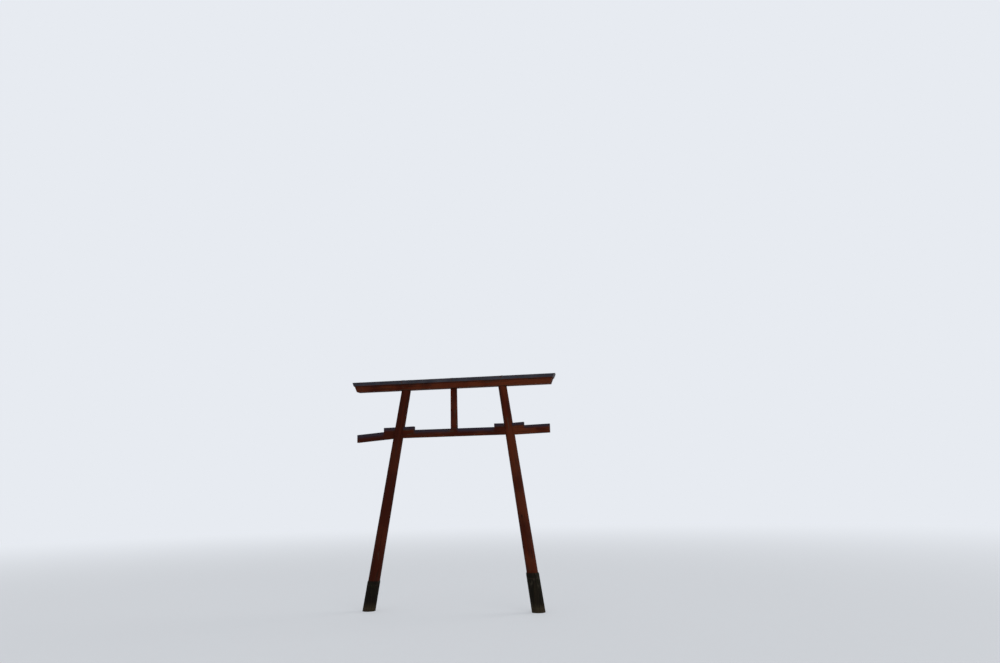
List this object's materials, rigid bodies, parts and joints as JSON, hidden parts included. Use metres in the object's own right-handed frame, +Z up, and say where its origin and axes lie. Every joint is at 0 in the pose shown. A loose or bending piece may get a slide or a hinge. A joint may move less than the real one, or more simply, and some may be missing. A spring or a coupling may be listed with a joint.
{
  "type": "wooden shrine gate with leaning log pillars",
  "caption": "Torii gate: leaning log pillars in black board collars, a tie beam held by wedges, a short middle post and a slant-ended double lintel under a black metal cap",
  "frame": {"origin": "centre of the level face under the left pillar's foot, on the ground", "axes": "+Z is up, +X runs across the gate from the left foot to the right one, and -Y is the front face that the picture shows"},
  "size_m": [4.0022, 0.2499, 4.319],
  "materials": {
    "vermilion_wood": "weathered vermilion paint over softwood grain",
    "black_boards": "weathered black paint over softwood boards",
    "black_sheet": "dull black painted steel sheet"
  },
  "bodies": {
    "root": {"left_pillar": "vermilion_wood", "right_pillar": "vermilion_wood", "left_collar": "black_boards", "right_collar": "black_boards", "tie_beam": "vermilion_wood", "left_tie_stub": "vermilion_wood", "right_tie_stub": "vermilion_wood", "left_outer_wedge": "vermilion_wood", "left_inner_wedge": "vermilion_wood", "right_inner_wedge": "vermilion_wood", "right_outer_wedge": "vermilion_wood", "strut": "vermilion_wood", "lower_lintel": "vermilion_wood", "upper_lintel": "vermilion_wood", "cap_sheet_1": "black_sheet", "cap_sheet_2": "black_sheet", "cap_sheet_3": "black_sheet", "cap_sheet_4": "black_sheet", "cap_strip_1": "black_sheet", "cap_strip_2": "black_sheet", "cap_strip_3": "black_sheet", "left_cap_end": "black_sheet", "right_cap_end": "black_sheet"}
  },
  "joints": []
}
